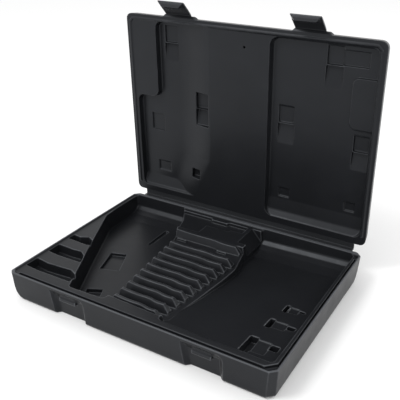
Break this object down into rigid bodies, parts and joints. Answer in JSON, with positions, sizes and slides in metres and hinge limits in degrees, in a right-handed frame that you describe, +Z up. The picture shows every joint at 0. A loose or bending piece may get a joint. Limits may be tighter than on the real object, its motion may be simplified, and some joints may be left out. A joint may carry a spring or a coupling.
{
  "type": "empty hand tool case",
  "caption": "Open double-walled plastic tool case with spanner slots, socket pockets, bins, a flexing lid hinge and hook latches.",
  "frame": {"origin": "centre of the base's outline on the surface it stands on, with the base the right way up", "axes": "+X to the right seen from the latch side, +Y towards the hinge, +Z up"},
  "size_m": [0.4, 0.3237, 0.3693],
  "materials": {
    "case_plastic": "black polyethylene with a satin moulded skin",
    "latch_plastic": "black polyethylene, slightly smoother than the case",
    "hinge_plastic": "black polyethylene, thinned and slightly paler where it flexes"
  },
  "bodies": {
    "base": {"base_outer_shell": "case_plastic", "rim_channel": "case_plastic", "rear_rim": "case_plastic", "left_socket_deck": "case_plastic", "left_bin": "case_plastic", "right_bin": "case_plastic", "spanner_rack": "case_plastic", "rear_block": "case_plastic", "latch_catch_left": "case_plastic", "latch_catch_right": "case_plastic", "hinge_base_leaf": "hinge_plastic", "hinge_film": "hinge_plastic", "rack_rib_01": "case_plastic", "rack_rib_02": "case_plastic", "rack_rib_03": "case_plastic", "rack_rib_04": "case_plastic", "rack_rib_05": "case_plastic", "rack_rib_06": "case_plastic", "rack_rib_07": "case_plastic", "rack_rib_08": "case_plastic", "rack_rib_09": "case_plastic", "rack_rib_10": "case_plastic", "rack_back_bar": "case_plastic"},
    "lid": {"lid_outer_shell": "case_plastic", "lid_face_frame": "case_plastic", "lid_left_recess": "case_plastic", "lid_right_recess": "case_plastic", "lid_bead": "case_plastic", "hinge_lid_leaf": "hinge_plastic", "latch_root_left": "case_plastic", "latch_root_right": "case_plastic", "latch_film_left": "hinge_plastic", "latch_film_right": "hinge_plastic"},
    "latch_left": {"latch_flap_left": "latch_plastic", "latch_hook_left": "latch_plastic"},
    "latch_right": {"latch_flap_right": "latch_plastic", "latch_hook_right": "latch_plastic"}
  },
  "joints": [
    {"name": "lid_hinge", "type": "hinge", "parent": "base", "child": "lid", "pos_m": [0, 0.1547, 0.042], "axis": [1, 0, 0], "range_deg": [-92.2, 87.8]},
    {"name": "latch_left_hinge", "type": "hinge", "parent": "lid", "child": "latch_left", "pos_m": [-0.1085, 0.14742, 0.34865], "axis": [1, 0, 0], "range_deg": [-60, 46]},
    {"name": "latch_right_hinge", "type": "hinge", "parent": "lid", "child": "latch_right", "pos_m": [0.0955, 0.14742, 0.34865], "axis": [1, 0, 0], "range_deg": [-60, 46]}
  ]
}
